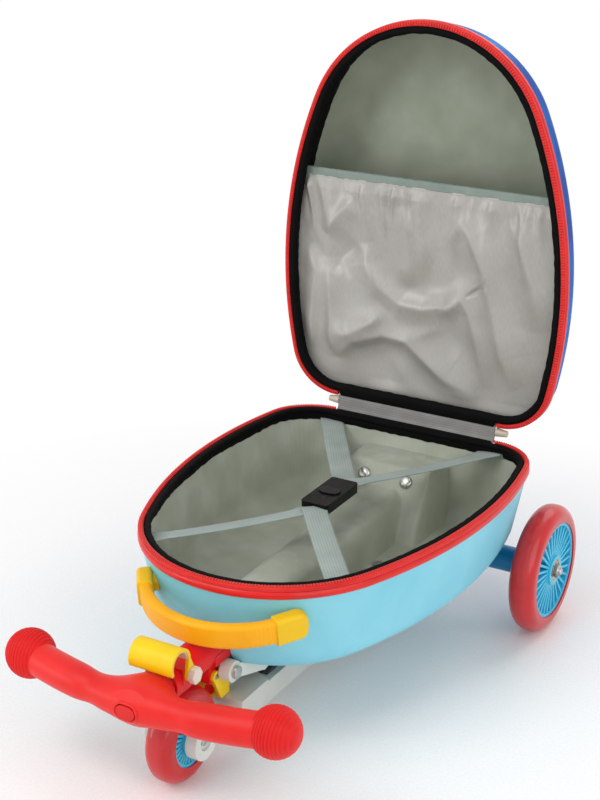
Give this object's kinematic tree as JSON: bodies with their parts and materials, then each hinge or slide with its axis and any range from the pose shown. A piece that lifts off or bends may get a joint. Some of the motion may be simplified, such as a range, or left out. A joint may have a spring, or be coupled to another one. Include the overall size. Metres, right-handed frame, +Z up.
{
  "type": "ride on suitcase",
  "caption": "Child's egg-shaped zip suitcase on a folding scooter frame, lying open with its lid up: big front wheels, small rear wheel, telescopic T handlebar and carry handle.",
  "frame": {"origin": "on the floor under the middle of the whole part's box", "axes": "+Z up, +Y towards the hinge end with the big wheels, -Y towards the handlebar, +X across"},
  "size_m": [0.343, 0.5414, 0.545],
  "materials": {
    "light_blue_eva": "satin moulded foam shell",
    "blue_eva": "satin moulded foam shell",
    "red_piping": "glossy vinyl piping",
    "red_zip": "woven zip tape",
    "black_binding": "woven binding tape",
    "grey_lining": "coated lining cloth",
    "satin_pocket": "satin polyester",
    "elastic_webbing": "woven elastic",
    "black_plastic": "moulded",
    "zinc_screw": "zinc plated",
    "nickel_slider": "nickel plated",
    "hinge_cloth": "plain woven cloth",
    "orange_yellow_grip": "soft moulded",
    "yellow_plastic": "moulded",
    "dark_blue_plastic": "moulded",
    "steel_axle": "ground",
    "red_tyre": "cast polyurethane",
    "sky_blue_hub": "moulded",
    "bearing_steel": "ground",
    "stem_steel": "plated tube",
    "red_plastic": "moulded",
    "light_grey_plastic": "moulded",
    "white_plastic": "moulded",
    "beige_plastic": "moulded",
    "silver_deck": "painted extrusion",
    "dark_tread": "ribbed",
    "spring_steel": "wire"
  },
  "bodies": {
    "case": {"base_shell": "light_blue_eva", "base_piping": "red_piping", "base_zip": "red_zip", "base_binding": "black_binding", "base_lining": "grey_lining", "strap_back_left": "elastic_webbing", "strap_back_right": "elastic_webbing", "strap_front_left": "elastic_webbing", "strap_front_right": "elastic_webbing", "strap_buckle": "black_plastic", "lining_screws": "zinc_screw", "carry_handle_grip": "orange_yellow_grip", "carry_handle_caps": "yellow_plastic", "zip_sliders": "nickel_slider", "hinge_strip": "hinge_cloth", "frame_block": "dark_blue_plastic", "axle_arms": "dark_blue_plastic", "axle_shaft": "steel_axle", "axle_nuts": "zinc_screw", "stem_outer_tube": "stem_steel", "frame_head": "red_plastic", "head_brackets": "light_grey_plastic", "head_bolt": "zinc_screw", "stem_clamp": "red_plastic", "clamp_nuts": "white_plastic", "fold_pin": "zinc_screw", "latch_pin": "zinc_screw"},
    "lid": {"lid_shell": "blue_eva", "lid_piping": "red_piping", "lid_zip": "red_zip", "lid_binding": "black_binding", "lid_lining": "grey_lining", "lid_pocket": "satin_pocket", "pocket_hem": "elastic_webbing"},
    "tbar": {"stem_inner_tube": "stem_steel", "handlebar": "red_plastic", "grip_left": "red_plastic", "grip_right": "red_plastic", "button_spring": "spring_steel"},
    "bar_button": {"bar_button": "red_plastic"},
    "cam_lever": {"cam_lever": "yellow_plastic", "cam_lever_pad": "beige_plastic"},
    "buckle_button": {"buckle_button": "black_plastic"},
    "deck": {"deck_beam": "silver_deck", "deck_tread": "dark_tread", "deck_knuckle": "light_grey_plastic", "rear_fork": "light_grey_plastic", "rear_axle": "steel_axle"},
    "fold_latch": {"fold_latch": "yellow_plastic", "latch_mark": "red_plastic"},
    "rear_wheel": {"rear_tyre": "red_tyre", "rear_hub": "sky_blue_hub", "rear_bearings": "bearing_steel"},
    "front_wheel_left": {"front_tyre_left": "red_tyre", "front_hub_left": "sky_blue_hub", "front_bearings_left": "bearing_steel"},
    "front_wheel_right": {"front_tyre_right": "red_tyre", "front_hub_right": "sky_blue_hub", "front_bearings_right": "bearing_steel"}
  },
  "joints": [
    {"name": "lid_hinge", "type": "hinge", "parent": "case", "child": "lid", "pos_m": [0, 0.2153, 0.168], "axis": [1, 0, 0], "range_deg": [0, 90]},
    {"name": "stem_slide", "type": "slide", "parent": "case", "child": "tbar", "axis": [0, -1, 0], "range_m": [0, 0.24]},
    {"name": "bar_button_press", "type": "slide", "parent": "tbar", "child": "bar_button", "axis": [0, 1, 0], "range_m": [0, 0.0035], "stiffness_N_per_m": 600},
    {"name": "cam_lever_turn", "type": "hinge", "parent": "case", "child": "cam_lever", "pos_m": [0, -0.2097, 0.106], "axis": [-1, 0, 0], "range_deg": [0, 60]},
    {"name": "buckle_push", "type": "slide", "parent": "case", "child": "buckle_button", "axis": [0, 0, -1], "range_m": [0, 0.002], "stiffness_N_per_m": 400},
    {"name": "deck_fold", "type": "hinge", "parent": "case", "child": "deck", "pos_m": [0, 0.2023, 0.036], "axis": [1, 0, 0], "range_deg": [0, 92]},
    {"name": "latch_turn", "type": "hinge", "parent": "case", "child": "fold_latch", "pos_m": [0, -0.1617, 0.076], "axis": [1, 0, 0], "range_deg": [0, 10], "stiffness_Nm_per_rad": 0.1},
    {"name": "rear_spin", "type": "hinge", "parent": "deck", "child": "rear_wheel", "pos_m": [0, -0.1977, 0.04], "axis": [1, 0, 0], "continuous": true},
    {"name": "front_left_spin", "type": "hinge", "parent": "case", "child": "front_wheel_left", "pos_m": [-0.153, 0.1773, 0.06], "axis": [1, 0, 0], "continuous": true},
    {"name": "front_right_spin", "type": "hinge", "parent": "case", "child": "front_wheel_right", "pos_m": [0.153, 0.1773, 0.06], "axis": [1, 0, 0], "continuous": true}
  ]
}
